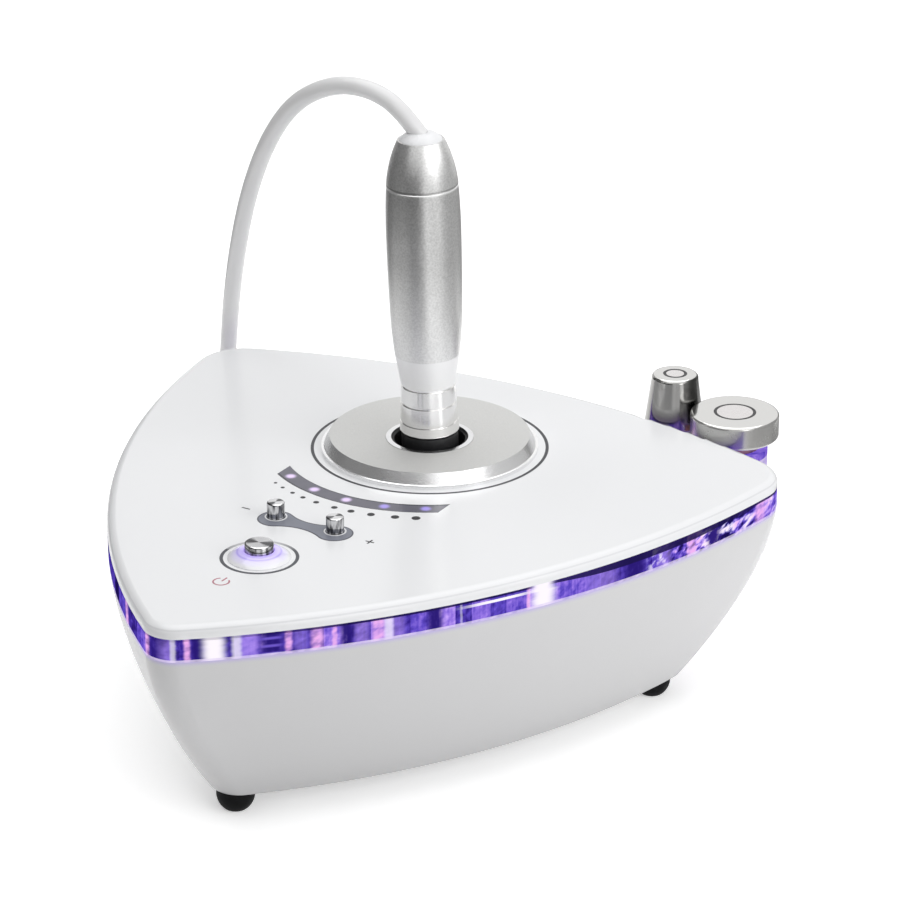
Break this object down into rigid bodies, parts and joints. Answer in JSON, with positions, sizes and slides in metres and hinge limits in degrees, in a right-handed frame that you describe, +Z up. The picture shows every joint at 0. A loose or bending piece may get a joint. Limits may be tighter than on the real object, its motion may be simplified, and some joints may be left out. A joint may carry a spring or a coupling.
{
  "type": "rf facial device",
  "caption": "Three-cornered table-top radio-frequency facial device: a console with a lit clear band, press buttons, a metal handpiece on a cord in its dish, and plug-in tips on a shelf.",
  "frame": {"origin": "on the table under the middle of the object's plan without its cord", "axes": "+Z up, -Y towards the front corner with the buttons, +X to the right seen from the front"},
  "size_m": [0.258, 0.3323, 0.2134],
  "materials": {
    "white_cover": "gloss white moulding",
    "white_case": "gloss white moulding",
    "clear_violet": "clear acrylic, lit violet from inside",
    "satin_metal": "satin, fine brushed",
    "bright_metal": "polished",
    "black_rubber": "matte",
    "black_plastic": "fine matte",
    "contact_brass": "satin",
    "board_green": "solder mask",
    "light_strip": "flexible strip with lights",
    "violet_light": "lit",
    "grey_window": "smoked window",
    "halo_lilac": "translucent lilac",
    "screw_steel": "zinc plated",
    "ferrite": "dark ferrite",
    "bare_aluminium": "extruded",
    "white_cord": "smooth white sheath"
  },
  "bodies": {
    "console": {"top_cover": "white_cover", "button_collars": "white_cover", "base_housing": "white_case", "cord_gland": "white_case", "light_band": "clear_violet", "tip_holder": "clear_violet", "rest_dish": "satin_metal", "dish_trim_ring": "bright_metal", "well_bush": "black_rubber", "foot_front": "black_rubber", "foot_left": "black_rubber", "foot_right": "black_rubber", "dish_nut": "black_plastic", "tact_switches": "black_plastic", "rf_transistors": "black_plastic", "power_supply": "black_plastic", "power_inlet": "black_plastic", "coil_tie": "black_plastic", "control_board": "board_green", "rf_board": "board_green", "band_led_strip": "light_strip", "level_leds": "violet_light", "level_window": "grey_window", "power_halo": "halo_lilac", "case_screws": "screw_steel", "board_screws": "screw_steel", "panel_screws": "screw_steel", "foot_screws": "screw_steel", "rf_transformer": "ferrite", "heat_sink": "bare_aluminium", "cord_arch": "white_cord", "cord_coil": "white_cord", "cord_tail": "white_cord"},
    "power_button": {"power_button": "bright_metal"},
    "minus_button": {"minus_button": "bright_metal"},
    "plus_button": {"plus_button": "bright_metal"},
    "handpiece": {"handpiece_nose": "bright_metal", "handpiece_barrel": "satin_metal", "handpiece_rear_cap": "satin_metal", "cord_collar": "white_cover", "nose_insulator": "black_plastic", "tip_socket": "contact_brass", "handpiece_lead": "white_cord"},
    "disc_tip": {"disc_tip_shell": "bright_metal", "disc_tip_insulator": "black_plastic", "disc_tip_centre": "bright_metal", "disc_tip_stem": "contact_brass"},
    "cone_tip": {"cone_tip_shell": "bright_metal", "cone_tip_insulator": "black_plastic", "cone_tip_centre": "bright_metal", "cone_tip_stem": "contact_brass"}
  },
  "joints": [
    {"name": "power_press", "type": "slide", "parent": "console", "child": "power_button", "axis": [0, 0, -1], "range_m": [0, 0.0009], "stiffness_N_per_m": 1500, "springref_m": -0.0004},
    {"name": "minus_press", "type": "slide", "parent": "console", "child": "minus_button", "axis": [0, 0, -1], "range_m": [0, 0.0009], "stiffness_N_per_m": 1500, "springref_m": -0.0004},
    {"name": "plus_press", "type": "slide", "parent": "console", "child": "plus_button", "axis": [0, 0, -1], "range_m": [0, 0.0009], "stiffness_N_per_m": 1500, "springref_m": -0.0004},
    {"name": "handpiece_lift", "type": "slide", "parent": "console", "child": "handpiece", "axis": [-0.0226, -0.0133, 0.9997], "range_m": [0, 0.06], "deforming": ["cord_arch"]},
    {"name": "disc_tip_lift", "type": "slide", "parent": "console", "child": "disc_tip", "axis": [0, 0, 1], "range_m": [0, 0.025]},
    {"name": "cone_tip_lift", "type": "slide", "parent": "console", "child": "cone_tip", "axis": [0, 0, 1], "range_m": [0, 0.025]}
  ]
}
